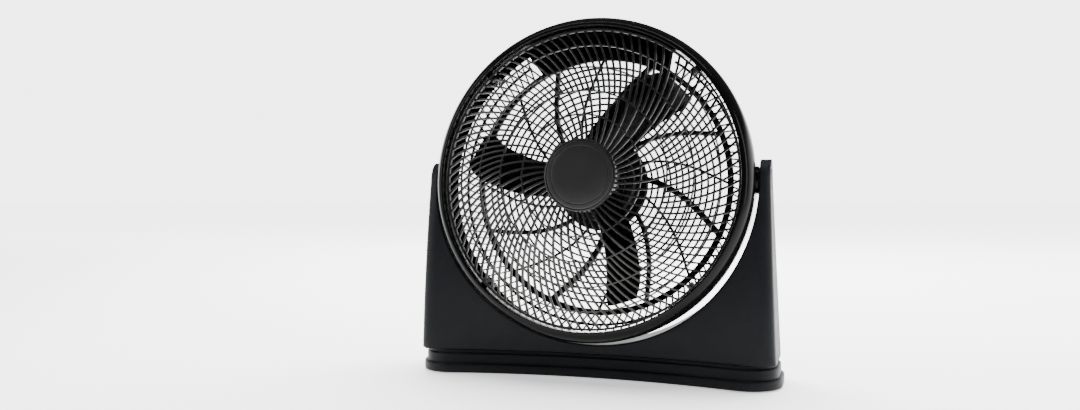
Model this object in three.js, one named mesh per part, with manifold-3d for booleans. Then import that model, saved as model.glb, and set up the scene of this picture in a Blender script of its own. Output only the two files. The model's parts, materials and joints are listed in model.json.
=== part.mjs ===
// A round-headed floor fan that pivots in a yoke base. Millimetres, +Z up, the front faces -Y.
// The origin is on the floor, under the middle of the fan's bounding box.
// Head pieces are drawn in the head's own frame: X across, Y back along the fan axis, Z up,
// with the origin where the pivot axis crosses the fan axis. "d" is a distance towards the front.
import * as THREE from 'three';
import { mergeVertices } from 'three/addons/utils/BufferGeometryUtils.js';
import Module from 'manifold-3d';

const wasm = await Module();
wasm.setup();

// ---- Driving dimensions -------------------------------------------------------------------
const GAP = 0.35; // between touching pieces
const PIVOT = { y: 5.5, z: 293.6 };
const REST_TILT = THREE.MathUtils.degToRad(5.96); // the head looks up by this much at rest

// Foot: stacked steps, each inset from the one below
const FOOT = { halfWidth: 275.5, front: -55.5, frontBow: 34, rear: 90, rearBow: 24, corner: 50 };
const PAD_HEIGHT = 1.5; // daylight under the foot, left by the rubber feet
const STEP_TOPS = [16, 31, 35.6];
const STEP_INSETS = [0, 4.5, 9];
const FOOT_WALL = 3;
const RUBBER = { r: 11, top: 4.2, x: 228, front: -20, rear: 55 };

// Base body: a hollow moulding that narrows upwards, with a U cut for the head
const BODY = { halfWidth: 268.6, front: -43.5, frontBow: 32, rear: 78, rearBow: 21, corner: 17 };
const BODY_BOTTOM = 36;
const TOP_HALF_WIDTH = 259.4; // at pivot height
const UPRIGHT_R = 29.5; // the uprights' round ends, about the pivot
const BOW_SPAN = 250; // the bows reach zero at this distance from the middle
const WALL = 3;
const U_R = 244.6;
const WINDOW = { halfWidth: 248, top: 150 }; // rear opening, closed by the rear cover

// Head: radii and distances towards the front
const DRUM = { r: 240, lipR: 226, lipD: 57, maxD: 35, rearR: 234.6, rearD: -10, wall: 2.6 };
const FLAT_X = 236; // flats on the drum's sides
const FLAT_HALF = 24;
const HANDLE = { inner: 196.5, outer: 226.4, gripR: 222, half: THREE.MathUtils.degToRad(30), barD: -68 };
const TRUNNION = { r: 20, x: 242, journalR: 11, journalX: 252 };
const GRILLE = { rimR: 221.6, hubR: 52.5, crown: 84, drop: 40, dropR: 170, domeR: 49 };
const GRILLE_RINGS = [88, 141.5, 194.5];
const GRILLE_RIBS = 12;
const RIB_STEPS = 5;
const RIB_SWEEP = THREE.MathUtils.degToRad(30); // turn of a front rib from hub to rim
const BADGE_R = 49.2;
const REAR_RING = { inner: 193, outer: 202, d: -42 };
const FLANK_RING = { r: 215.5, d: -25.5, half: 1.8 }; // on the slope from the thick ring to the drum
const REAR_HUB = { inner: 62.6, outer: 72, d: -46 };
const ARMS = 8;
const ARM_SWEEP = THREE.MathUtils.degToRad(28);
const FLANK_SWEEP = THREE.MathUtils.degToRad(3.4);
const ARM_HALF = 3.1; // half the width and depth of an arm
const MOTOR_R = 58;
const CORE = { front: -14, back: -31, rotorR: 29.2, statorR: 55.6 };
const BEARING_R = 9.25;
const MOUNT = { front: -42.6, floor: -46.4, back: -49.4 }; // d of the motor mount's faces
const COVER_BACK = -84; // d of the motor rear cover's flat back
const GLAND_Z = -38;

// Screws
const SCREW = { headR: 3.9, headLength: 2.6, shankR: 1.9, holeR: 2.3, pocketR: 4.6 };
const SCREW_LENGTH = 14;
const COVER_POCKET = 3.6; // depth of a screw's pocket in the rear cover
const COVER_BOSS = 7.5; // depth of the boss round that pocket
const REAR_SCREWS = [[-226, 62], [226, 62], [-236, 128], [236, 128]]; // x, z
const FOOT_SCREWS = [[-120, 2], [120, 2], [-120, 40], [120, 40]]; // x, y
const FOOT_SCREW = { head: 24, length: 24 }; // height of its head's underside, and its length
const PIVOT_SCREW = { r: 2.9, headR: 7 };
const QUARTERS = [45, 135, 225, 315].map(THREE.MathUtils.degToRad);
const RIM_SCREW_R = 217;
const REAR_SCREW_R = 228.5;
const MOTOR_SCREW_R = 46;
const LUG = { front: 34, back: 28, inner: 5, half: 5.5 }; // the drum's lugs behind the front grille
const TAB = { inner: 4, half: 4.3 }; // the front grille's tabs on those lugs
const REAR_RIM = { inner: 227, outer: 234, depth: 3.6, earR: 5.4 };

// Rotor
const HUB_R = 45;
const BLADE = { count: 3, tipR: 188, midD: 28, thickness: 2.4, sweep: 17, firstAngle: 63.5 };
const SHAFT_R = 4;
const PIN_D = 14; // d of the drive pin

// ---- Materials ----------------------------------------------------------------------------
const plastic = (color, roughness) => new THREE.MeshStandardMaterial({ color, roughness, metalness: 0 });
const metal = (color, roughness) => new THREE.MeshStandardMaterial({ color, roughness, metalness: 1 });
const finish = {
  base: plastic(0x24262a, 0.5),
  drum: plastic(0x0c0c0d, 0.35),
  grille: plastic(0x2b2b2c, 0.45),
  blade: plastic(0x08080a, 0.25),
  housing: plastic(0x141414, 0.5),
  rubber: plastic(0x0a0a0a, 0.9),
  steel: metal(0x9a9a9a, 0.35),
  core: metal(0x6d6d6d, 0.5),
  copper: metal(0xa86a3a, 0.4),
  bronze: metal(0x8c6a3c, 0.4),
  nylon: plastic(0x1c1c1c, 0.6),
};

// ---- Solids -------------------------------------------------------------------------------
function solid(geometry) {
  const bare = geometry.clone();
  bare.deleteAttribute('normal');
  bare.deleteAttribute('uv');
  const merged = mergeVertices(bare, 1e-4);
  const points = merged.attributes.position;
  const corners = [];
  let volume = 0;
  const [a, b, c] = [new THREE.Vector3(), new THREE.Vector3(), new THREE.Vector3()];
  for (let i = 0; i < merged.index.count; i += 3) {
    const [p, q, r] = [0, 1, 2].map((k) => merged.index.getX(i + k));
    if (p === q || q === r || r === p) continue; // slivers at a lathe's poles
    corners.push(p, q, r);
    a.fromBufferAttribute(points, p);
    b.fromBufferAttribute(points, q);
    c.fromBufferAttribute(points, r);
    volume += a.dot(b.cross(c));
  }
  if (volume < 0) corners.reverse();
  const vertProperties = new Float32Array(points.array);
  return new wasm.Manifold(
    new wasm.Mesh({ numProp: 3, vertProperties, triVerts: new Uint32Array(corners) }),
  );
}

const joined = (pieces) => pieces.reduce((whole, piece) => whole.add(piece));

function named(name, body, material) {
  const { vertProperties, triVerts } = body.getMesh();
  const geometry = new THREE.BufferGeometry();
  geometry.setAttribute('position', new THREE.BufferAttribute(new Float32Array(vertProperties), 3));
  geometry.setIndex(new THREE.BufferAttribute(new Uint32Array(triVerts), 1));
  geometry.computeVertexNormals();
  const mesh = new THREE.Mesh(geometry, material);
  mesh.name = name;
  return mesh;
}

const box = (x0, x1, y0, y1, z0, z1) =>
  solid(new THREE.BoxGeometry(x1 - x0, y1 - y0, z1 - z0)
    .translate((x0 + x1) / 2, (y0 + y1) / 2, (z0 + z1) / 2));

// A round bar along Y between two places, at (x, z)
const barY = (r, y0, y1, x = 0, z = 0, sides = 12) =>
  solid(new THREE.CylinderGeometry(r, r, y1 - y0, sides).translate(x, (y0 + y1) / 2, z));
// A round bar along X
const barX = (r, x0, x1, y = 0, z = 0, sides = 16) =>
  solid(new THREE.CylinderGeometry(r, r, x1 - x0, sides)
    .rotateZ(Math.PI / 2).translate((x0 + x1) / 2, y, z));
// A round bar along Z
const barZ = (r, z0, z1, x, y, sides = 12) =>
  solid(new THREE.CylinderGeometry(r, r, z1 - z0, sides)
    .rotateX(Math.PI / 2).translate(x, y, (z0 + z1) / 2));

// A turned piece about the fan axis, from a closed outline of [radius, d] pairs
const turned = (outline, sides = 24) =>
  solid(new THREE.LatheGeometry(
    [...outline, outline[0]].map(([r, d]) => new THREE.Vector2(r, -d)), sides));
// A turned ring of rectangular section
const ring = (r0, r1, d0, d1, sides = 24) => turned([[r0, d0], [r1, d0], [r1, d1], [r0, d1]], sides);

// A bar of small square section along a path of points in the head's frame
function wire(points, halfSection, steps) {
  const h = halfSection;
  const section = new THREE.Shape([
    new THREE.Vector2(-h, -h), new THREE.Vector2(h, -h), new THREE.Vector2(h, h), new THREE.Vector2(-h, h),
  ]);
  const extrudePath = new THREE.CatmullRomCurve3(points);
  return solid(new THREE.ExtrudeGeometry(section, { steps, extrudePath }));
}

// A point of the head at a radius, an angle (seen from the front, from +X upwards) and a d
const headPoint = (r, angle, d) => new THREE.Vector3(r * Math.cos(angle), -d, r * Math.sin(angle));

// ---- Base ---------------------------------------------------------------------------------
// A plan outline with bowed front and rear edges and round corners
function planOutline(plan, inset) {
  const halfWidth = plan.halfWidth - inset;
  const corner = plan.corner - inset;
  const points = 4;
  // The right half of one edge, from the middle outwards, with the corner that meets the side wall
  const halfEdge = (end, bow, facing) => {
    const y = (x) => end - facing * bow * (1 - (x / BOW_SPAN) ** 2);
    const lean = (x) => Math.atan((2 * bow * x) / BOW_SPAN ** 2);
    let reach = halfWidth - corner;
    for (let i = 0; i < 5; i += 1) reach = halfWidth - corner * (1 + Math.sin(lean(reach)));
    const path = [];
    for (let i = 0; i <= points; i += 1) path.push([(reach * i) / points, y((reach * i) / points)]);
    const centre = [
      reach + corner * Math.sin(lean(reach)), y(reach) - facing * corner * Math.cos(lean(reach)),
    ];
    for (let i = 1; i <= points; i += 1) {
      const turn = (Math.PI / 2 + lean(reach)) * (1 - i / points);
      path.push([centre[0] + corner * Math.cos(turn), centre[1] + facing * corner * Math.sin(turn)]);
    }
    return path;
  };
  const right = [
    ...halfEdge(plan.front + inset, plan.frontBow, -1),
    ...halfEdge(plan.rear - inset, plan.rearBow, 1).reverse(),
  ];
  const left = right.slice(1, -1).reverse().map(([x, y]) => [-x, y]);
  return [...right, ...left].map(([x, y]) => new THREE.Vector2(x, y));
}

function planBlock(plan, inset, z0, z1, steps = 1) {
  const shape = new THREE.Shape(planOutline(plan, inset));
  return new THREE.ExtrudeGeometry(shape, { depth: z1 - z0, steps, bevelEnabled: false })
    .translate(0, 0, z0);
}

// How far down from the pivot a height is: 0 at the pivot and above, 1 at the body's bottom
const down = (z) => Math.max(0, (PIVOT.z - z) / (PIVOT.z - BODY_BOTTOM));
const bodyFront = (z) => {
  const foot = PIVOT.y - UPRIGHT_R;
  return foot + (BODY.front - foot) * (1 - (1 - Math.min(1, down(z))) ** 2);
};
const bodyRear = (z) => PIVOT.y + UPRIGHT_R + (BODY.rear - PIVOT.y - UPRIGHT_R) * down(z);
const bodyWidth = (z) => (TOP_HALF_WIDTH + (BODY.halfWidth - TOP_HALF_WIDTH) * down(z)) / BODY.halfWidth;

// Turns a side-view outline (y, z) that was extruded by a width into place across X
const sideToWorld = (across) => new THREE.Matrix4().set(
  0, 0, 1, -across / 2,
  1, 0, 0, 0,
  0, 1, 0, 0,
  0, 0, 0, 1,
);

// The body's outer form, or the same form drawn in by an inset, from a height up
function bodyBlock(inset, bottom) {
  const top = PIVOT.z + UPRIGHT_R + 1;
  const geometry = planBlock(BODY, inset, bottom, top, 6);
  const points = geometry.attributes.position;
  for (let i = 0; i < points.count; i += 1) {
    const z = points.getZ(i);
    const along = (points.getY(i) - BODY.front - inset) / (BODY.rear - BODY.front - 2 * inset);
    const [front, rear] = [bodyFront(z) + inset, bodyRear(z) - inset];
    points.setXYZ(i, points.getX(i) * bodyWidth(z), front + along * (rear - front), z);
  }
  const side = new THREE.Shape();
  side.moveTo(-120, bottom - 1);
  side.lineTo(120, bottom - 1);
  side.lineTo(120, PIVOT.z - 60);
  side.lineTo(PIVOT.y + UPRIGHT_R + 14 - inset, PIVOT.z - 30);
  side.lineTo(PIVOT.y + UPRIGHT_R - inset, PIVOT.z);
  side.absarc(PIVOT.y, PIVOT.z, UPRIGHT_R - inset, 0, Math.PI, false);
  side.lineTo(PIVOT.y - UPRIGHT_R - 14 + inset, PIVOT.z - 30);
  side.lineTo(-120, PIVOT.z - 60);
  const across = 600;
  const profile = new THREE.ExtrudeGeometry(side, { depth: across, bevelEnabled: false, curveSegments: 9 })
    .applyMatrix4(sideToWorld(across));
  return solid(geometry).intersect(solid(profile));
}

// Height of the body's outer rear face at a place
function rearFace(x, z) {
  const along = (BODY.rear - BODY.rearBow * (1 - (x / BOW_SPAN) ** 2) - BODY.front)
    / (BODY.rear - BODY.front);
  return bodyFront(z) + along * (bodyRear(z) - bodyFront(z));
}

// The U cut: a bar along Y about the pivot, open upwards
const uCut = (r) => barY(r, -150, 150, 0, PIVOT.z, 60)
  .add(box(-r, r, -150, 150, PIVOT.z, PIVOT.z + 100));

const rubberPlaces = [-1, 1].flatMap((side) =>
  [RUBBER.front, RUBBER.rear].map((y) => [side * RUBBER.x, y]));

const bodyOuter = bodyBlock(0, BODY_BOTTOM);
const rearLayer = (depth) => bodyOuter.subtract(bodyOuter.translate(0, -depth, 0));
const rearWindow = (gap) => {
  const half = WINDOW.halfWidth - gap;
  return box(-half, half, 20, 120, BODY_BOTTOM + gap - (gap ? 0 : 1), WINDOW.top - gap)
    .subtract(uCut(U_R + WALL + gap));
};

function baseBody() {
  const hollow = bodyBlock(WALL, BODY_BOTTOM - 1).subtract(uCut(U_R + WALL));
  const posts = joined(REAR_SCREWS.map(([x, z]) => barY(6.5, -60, 100, x, z, 10)))
    .intersect(bodyOuter.translate(0, -COVER_BOSS - GAP, 0)).intersect(bodyOuter);
  const footPosts = joined(FOOT_SCREWS.map(([x, y]) => barZ(5, BODY_BOTTOM + GAP, 90, x, y, 16)))
    .subtract(uCut(U_R + 1));
  const bores = joined([-1, 1].flatMap((side) => [
    barX(15, side * 246 - 4, side * 246 + 4, PIVOT.y, PIVOT.z),
    barX(17, side * 258 - 4, side * 258 + 4, PIVOT.y, PIVOT.z),
    ...REAR_SCREWS.filter(([x]) => x * side > 0).map(([x, z]) =>
      barY(SCREW.holeR, rearFace(x, z) - 22, 100, x, z, 8)),
    ...FOOT_SCREWS.filter(([x]) => x * side > 0).map(([x, y]) => barZ(SCREW.holeR, 20, 56, x, y, 8)),
  ]));
  return bodyOuter.subtract(uCut(U_R)).subtract(hollow).subtract(rearWindow(0))
    .add(posts).add(footPosts).subtract(bores);
}

function rearCover() {
  const bosses = joined(REAR_SCREWS.map(([x, z]) => barY(6.5, -60, 100, x, z, 10)));
  const pockets = joined(REAR_SCREWS.flatMap(([x, z]) => {
    const face = rearFace(x, z);
    return [
      barY(SCREW.pocketR, face - COVER_POCKET, 110, x, z, 10),
      barY(SCREW.holeR, face - 20, 110, x, z, 8),
    ];
  }));
  return rearLayer(WALL).intersect(rearWindow(GAP))
    .add(bosses.intersect(rearLayer(COVER_BOSS))).subtract(pockets);
}

function footPlinth() {
  const steps = joined(STEP_TOPS.map((top, i) =>
    solid(planBlock(FOOT, STEP_INSETS[i], i ? STEP_TOPS[i - 1] - 1 : PAD_HEIGHT, top))));
  const hollow = solid(planBlock(FOOT, FOOT_WALL, -1, STEP_TOPS[0] - FOOT_WALL))
    .add(solid(planBlock(FOOT, STEP_INSETS[1] + FOOT_WALL, -1, STEP_TOPS[1] - FOOT_WALL)));
  const pads = joined(rubberPlaces.map(([x, y]) => barZ(RUBBER.r + 3, PAD_HEIGHT, 29, x, y, 16)));
  const posts = joined(FOOT_SCREWS.map(([x, y]) => barZ(8, 12, 29, x, y, 12)));
  const recesses = joined(rubberPlaces.map(([x, y]) =>
    barZ(RUBBER.r + GAP, 0, RUBBER.top + GAP, x, y, 16)));
  const bores = joined(FOOT_SCREWS.flatMap(([x, y]) => [
    barZ(SCREW.holeR, 0, 40, x, y, 8), barZ(SCREW.pocketR, 0, FOOT_SCREW.head + GAP, x, y, 16),
  ]));
  return steps.subtract(hollow).add(pads).add(posts).subtract(recesses).subtract(bores);
}

// A pan-head screw whose head's underside is at the origin, pointing along -Y
const screwAlongY = (length) =>
  barY(SCREW.headR, 0, SCREW.headLength, 0, 0, 10).add(barY(SCREW.shankR, -length, 0.5, 0, 0, 6));

const base = new THREE.Group();
base.add(named('base_body', baseBody(), finish.base));
base.add(named('base_rear_cover', rearCover(), finish.base));
base.add(named('foot_plinth', footPlinth(), finish.base));
rubberPlaces.forEach(([x, y], i) => {
  base.add(named(`rubber_foot_${i + 1}`, barZ(RUBBER.r, 0, RUBBER.top, x, y, 16), finish.rubber));
});
REAR_SCREWS.forEach(([x, z], i) => {
  const screw = named(`rear_cover_screw_${i + 1}`, screwAlongY(SCREW_LENGTH), finish.steel);
  screw.position.set(x, rearFace(x, z) - COVER_POCKET + GAP, z);
  base.add(screw);
});
FOOT_SCREWS.forEach(([x, y], i) => {
  const screw = named(`foot_screw_${i + 1}`, screwAlongY(FOOT_SCREW.length), finish.steel);
  screw.rotation.x = -Math.PI / 2;
  screw.position.set(x, y, FOOT_SCREW.head);
  base.add(screw);
});
for (const [side, word] of [[-1, 'left'], [1, 'right']]) {
  // The bush lines the bore in the U wall; its flange keeps the trunnion's shoulder off the wall
  const at = (x) => side * x;
  const bar = (r, x0, x1) => barX(r, Math.min(at(x0), at(x1)), Math.max(at(x0), at(x1)), PIVOT.y, PIVOT.z);
  const bush = bar(18.5, TRUNNION.x + GAP, U_R - 1.4).add(bar(14.6, TRUNNION.x + GAP, 248.4))
    .subtract(bar(TRUNNION.journalR + GAP, 240, 260));
  base.add(named(`pivot_bush_${word}`, bush, finish.nylon));
  // The cap closes the bore in the outer wall, level with it
  const cap = bar(16.6, TOP_HALF_WIDTH - 2.6, TOP_HALF_WIDTH);
  base.add(named(`pivot_cap_${word}`, cap, finish.housing));
}

// ---- Head: drum and grilles ---------------------------------------------------------------
// Turns a piece drawn at angle 0 about the fan axis
const aroundAxis = (body, angle) => body.rotate(0, -THREE.MathUtils.radToDeg(angle), 0);
const atQuarters = (body) => joined(QUARTERS.map((angle) => aroundAxis(body, angle)));

// A block whose side faces lie at +-half in Y and Z, on one side of the head
const sideBlock = (side, x0, x1, half) =>
  box(Math.min(side * x0, side * x1), Math.max(side * x0, side * x1), -half, half, -half, half);
const sideBar = (side, r, x0, x1) =>
  barX(r, Math.min(side * x0, side * x1), Math.max(side * x0, side * x1));

function drum() {
  const { r, lipR, lipD, maxD, rearR, rearD, wall } = DRUM;
  const lipInner = lipR - 2.8;
  const barrel = turned([
    [lipR, lipD], [lipR + 4.5, lipD - 2.2], [lipR + 10.5, lipD - 9], [r, maxD],
    [r - 1.2, 10], [rearR, rearD],
    [rearR - wall, rearD], [r - 1.2 - wall, 10], [r - wall - 0.6, maxD - 4],
    [lipInner, maxD - 4], [lipInner, lipD - 1],
  ], 48);
  const lugs = atQuarters(
    box(RIM_SCREW_R - LUG.inner, r - 2, -LUG.front, -LUG.back, -LUG.half, LUG.half));
  const bosses = atQuarters(barY(5, -5, -rearD, REAR_SCREW_R, 0, 10));
  const sides = [-1, 1];
  const pads = joined(sides.map((side) => sideBlock(side, 229, FLAT_X + 0.5, FLAT_HALF + 3)));
  const beyondFlats = joined(sides.map((side) => sideBlock(side, FLAT_X, 250, FLAT_HALF)));
  const trunnions = joined(sides.map((side) => sideBar(side, TRUNNION.r, FLAT_X - 3, TRUNNION.x)
    .add(sideBar(side, TRUNNION.journalR, FLAT_X, TRUNNION.journalX))));
  const bores = joined(sides.map((side) => sideBar(side, PIVOT_SCREW.r + 0.4, 226, 262)))
    .add(atQuarters(barY(SCREW.holeR, -60, 0, RIM_SCREW_R, 0, 8)))
    .add(atQuarters(barY(SCREW.holeR, -2, 60, REAR_SCREW_R, 0, 8)));
  const past = REAR_RIM.outer + GAP;
  const behind = turned([[0, rearD], [past, rearD], [past, -60], [0, -60]], 48);
  return barrel.add(lugs).add(bosses).add(pads).subtract(beyondFlats).add(trunnions)
    .subtract(behind).subtract(bores);
}

// The front grille's dome: d of its outer face at a radius
const domeD = (r) => GRILLE.crown - GRILLE.drop * (Math.max(0, r - GRILLE.domeR) / GRILLE.dropR) ** 2;

function frontGrille() {
  const { rimR, hubR, crown } = GRILLE;
  const depth = 3;
  const hub = turned([
    [0, 74], [hubR, 74], [hubR, crown - 0.4], [BADGE_R + 0.5, crown - 0.4], [BADGE_R + 0.5, 80.7],
    [0, 80.7],
  ]);
  const rimD = domeD(rimR) + 1.5;
  const rim = ring(rimR - 3, rimR, rimD - 6, rimD, 48);
  const rings = GRILLE_RINGS.map((r) =>
    turned([[r - 1.5, domeD(r) - depth], [r + 1.5, domeD(r) - depth], [r, domeD(r)]]));
  const ribs = [];
  for (let i = 0; i < GRILLE_RIBS; i += 1) {
    const start = (i * 2 * Math.PI) / GRILLE_RIBS;
    const path = [];
    for (let k = 0; k <= RIB_STEPS; k += 1) {
      const r = hubR - 1 + ((rimR - hubR) * k) / RIB_STEPS;
      path.push(headPoint(r, start + (RIB_SWEEP * k) / RIB_STEPS, domeD(r) - depth / 2));
    }
    ribs.push(wire(path, 1.3, RIB_STEPS));
  }
  const tabs = atQuarters(
    box(RIM_SCREW_R - TAB.inner, rimR - 1, -rimD + 1, -LUG.front - GAP, -TAB.half, TAB.half));
  const holes = atQuarters(barY(SCREW.holeR, -LUG.front - 7, 0, RIM_SCREW_R, 0, 8));
  return joined([hub, rim, ...rings, ...ribs, tabs]).subtract(holes);
}

// The rear grille is a shallow cone from its hub to the thick ring
const rearD = (r) => REAR_HUB.d - 3
  + ((REAR_RING.d - REAR_HUB.d + 3) * (r - REAR_HUB.outer)) / (REAR_RING.inner - REAR_HUB.outer);

// A bar of the rear grille between two radii, swept so that it turns clockwise on its way out
function rearBar(outerAngle, r0, r1, half, sweep) {
  const path = [];
  const steps = sweep ? 4 : 1;
  for (let k = 0; k <= steps; k += 1) {
    const r = r0 + ((r1 - r0) * k) / steps;
    path.push(headPoint(r, outerAngle + sweep * (1 - k / steps) ** 1.2, Math.min(REAR_RING.d, rearD(r))));
  }
  return wire(path, half, steps);
}

// A bar on the slope between the thick ring and the drum's rear edge
function flankBar(angle) {
  const [r0, d0] = [REAR_RING.outer - 1.5, REAR_RING.d];
  const [r1, d1] = [REAR_RIM.inner + 1.5, DRUM.rearD - REAR_RIM.depth / 2 - GAP];
  const path = [0, 0.5, 1].map((t) =>
    headPoint(r0 + (r1 - r0) * t, angle - FLANK_SWEEP * t, d0 + (d1 - d0) * t));
  return wire(path, 1.3, 2);
}

function rearGrille() {
  const { inner, outer, d } = REAR_RING;
  const hub = ring(REAR_HUB.inner, REAR_HUB.outer, REAR_HUB.d - 6, REAR_HUB.d);
  const thick = ring(inner, outer, d - 3, d + 3, 36);
  const rimRing = ring(REAR_RIM.inner, REAR_RIM.outer, DRUM.rearD - REAR_RIM.depth, DRUM.rearD - GAP, 48);
  const thin = [112, 152].map((r) =>
    turned([[r - 1.5, rearD(r) - 1.5], [r + 1.5, rearD(r) - 1.5], [r, rearD(r) + 1.5]]));
  const bars = [];
  for (let i = 0; i < ARMS; i += 1) {
    const angle = ((i + 0.5) * 2 * Math.PI) / ARMS;
    bars.push(rearBar(angle, REAR_HUB.outer - 2, inner + 3, ARM_HALF, ARM_SWEEP));
  }
  const outerBars = 12;
  for (let i = 0; i < outerBars; i += 1) {
    const angle = (i * 2 * Math.PI) / outerBars;
    const underHandle = Math.abs(angle - Math.PI / 2) < HANDLE.half + 0.05;
    if (!underHandle) bars.push(flankBar(angle));
  }
  const { r: flankR, d: flankD, half: h } = FLANK_RING;
  const handleGap = HANDLE.half + 0.02;
  const flankRing = ring(flankR - h, flankR + h, flankD - h, flankD + h, 36)
    .subtract(sector(200, 225, Math.PI / 2 - handleGap, Math.PI / 2 + handleGap, -35, -15));
  const [earFront, earBack] = [-DRUM.rearD + GAP, -DRUM.rearD + REAR_RIM.depth];
  const ears = atQuarters(barY(REAR_RIM.earR, earFront, earBack, REAR_SCREW_R, 0));
  const holes = atQuarters(barY(SCREW.holeR, 5, 20, REAR_SCREW_R, 0, 8));
  return joined([hub, thick, rimRing, flankRing, ears, ...thin, ...bars]).subtract(holes);
}

// An arc-shaped block between two radii and two angles
function sector(r0, r1, a0, a1, d0, d1) {
  const shape = new THREE.Shape();
  shape.absarc(0, 0, r1, a0, a1, false);
  shape.absarc(0, 0, r0, a1, a0, true);
  return solid(new THREE.ExtrudeGeometry(shape, { depth: d1 - d0, bevelEnabled: false, curveSegments: 8 })
    .translate(0, 0, d0).rotateX(Math.PI / 2));
}

function carryHandle() {
  const { inner, outer, gripR, half, barD } = HANDLE;
  const middle = Math.PI / 2;
  // The panel starts behind the thick ring and slopes forward to the rear grille's rim
  const behindRing = REAR_RING.d - 3 - GAP;
  const panel = turned([
    [inner, behindRing - 4], [REAR_RING.outer + 2, behindRing - 4], [outer, -17], [outer, -12.6],
    [REAR_RING.outer + 0.6, behindRing], [inner, behindRing],
  ], 60).intersect(sector(inner - 5, outer + 5, middle - half, middle + half, -55, -5));
  const gripHalf = half * 0.8;
  const grip = sector(gripR - 10, gripR, middle - gripHalf, middle + gripHalf, barD - 10, barD);
  const posts = [-1, 1].map((side) => {
    const a = middle + side * (gripHalf - 0.05);
    return sector(gripR - 10, gripR, a - 0.05, a + 0.05, barD - 10, -24);
  });
  return joined([panel, grip, ...posts]);
}

// ---- Head: motor, controls and rotor ------------------------------------------------------
function motorFrontHousing() {
  return turned([
    [BEARING_R + GAP, -4], [52, -4], [MOTOR_R, -9], [MOTOR_R, -27], [MOTOR_R - 2, -27], [MOTOR_R - 2, -10],
    [51.2, -6], [12, -6], [12, -11], [BEARING_R + GAP, -11],
  ]);
}

function motorRearHousing() {
  return turned([
    [MOTOR_R - 2, -27 - GAP], [MOTOR_R, -27 - GAP], [MOTOR_R, -41], [52, -46], [BEARING_R + GAP, -46],
    [BEARING_R + GAP, -39.5], [12, -39.5], [12, -44], [51.2, -44], [MOTOR_R - 2, -40],
  ]).subtract(atQuarters(barY(SCREW.holeR, 40, 50, MOTOR_SCREW_R, 0, 8)));
}

function motorMount() {
  const { front, floor, back } = MOUNT;
  return turned([
    [40, floor], [MOTOR_R + 0.6, floor], [MOTOR_R + 0.6, front], [71, front], [71, front - 3],
    [61.8, front - 3], [61.8, back], [40, back],
  ]).subtract(atQuarters(barY(SCREW.holeR, 40, 55, MOTOR_SCREW_R, 0, 8)));
}

function motorRearCover() {
  const back = COVER_BACK;
  return turned([
    [71, -52.4], [66, -62], [58, back + 6], [50, back], [7, back], [7, back + 2], [49, back + 2],
    [56, back + 7], [63.8, -62], [68.5, -52.4],
  ]).subtract(barY(6.4, 70, 90, 0, GLAND_Z));
}

function cordGland() {
  const bar = (r, y0, y1) => barY(r, y0, y1, 0, GLAND_Z);
  return bar(6, 80, 84.2).add(bar(8.5, 84.35, 87)).add(bar(4.6, 84, 98)).subtract(bar(3.2, 70, 110));
}

function speedKnob() {
  const skirt = turned([
    [0, -97], [15.5, -97], [17.5, -95], [18, -84.6], [15.5, -84.6], [15, -92], [6, -92], [6, -87],
    [3.4, -87], [3.4, -92.5], [0, -92.5],
  ], 24);
  return skirt.add(box(-1.6, 1.6, 96, 99, 2, 15));
}

// One blade: a plate bent onto the helix that the rotor sweeps, thickest along its root
function blade(angle) {
  const plate = new THREE.BoxGeometry(1, 1, 1, 6, 3, 1);
  const points = plate.attributes.position;
  const { lerp, degToRad } = THREE.MathUtils;
  for (let i = 0; i < points.count; i += 1) {
    const [out, chord, side] = [points.getX(i) + 0.5, points.getY(i), points.getZ(i)];
    const r = lerp(HUB_R - 2, BLADE.tipR, out);
    const rounding = out > 0.8 ? Math.sqrt(1 - 0.4 * ((out - 0.8) / 0.2) ** 2) : 1;
    const along = chord * lerp(54, 67, out) * rounding;
    const pitch = degToRad(lerp(43, 31, out));
    const centre = degToRad(angle - (BLADE.sweep * (r - 50)) / (BLADE.tipR - 50));
    const d = BLADE.midD + along * Math.tan(pitch) + (side * BLADE.thickness) / Math.cos(pitch);
    points.setXYZ(i, ...headPoint(r, centre + along / r, d).toArray());
  }
  return solid(plate);
}

function fanBlades() {
  const hub = turned([
    [SHAFT_R + GAP, 12], [10, 12], [10, 55], [HUB_R - 3, 55], [HUB_R - 3, 1], [HUB_R, 1], [HUB_R, 56],
    [HUB_R - 2, 58], [SHAFT_R + GAP, 58],
  ]);
  const slot = box(-10.5, 10.5, -PIN_D - 2.2, -11, -2, 2);
  const blades = [];
  for (let i = 0; i < BLADE.count; i += 1) {
    blades.push(blade(BLADE.firstAngle + (i * 360) / BLADE.count));
  }
  const inside = turned([[0, -20], [HUB_R - 1.5, -20], [HUB_R - 1.5, 70], [0, 70]]);
  return hub.subtract(slot).add(joined(blades).subtract(inside));
}

function quarterScrews(parent, name, radius, headFace, length) {
  QUARTERS.forEach((angle, i) => {
    const screw = named(`${name}_${i + 1}`, screwAlongY(length), finish.steel);
    screw.position.copy(headPoint(radius, angle, headFace));
    parent.add(screw);
  });
}

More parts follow.
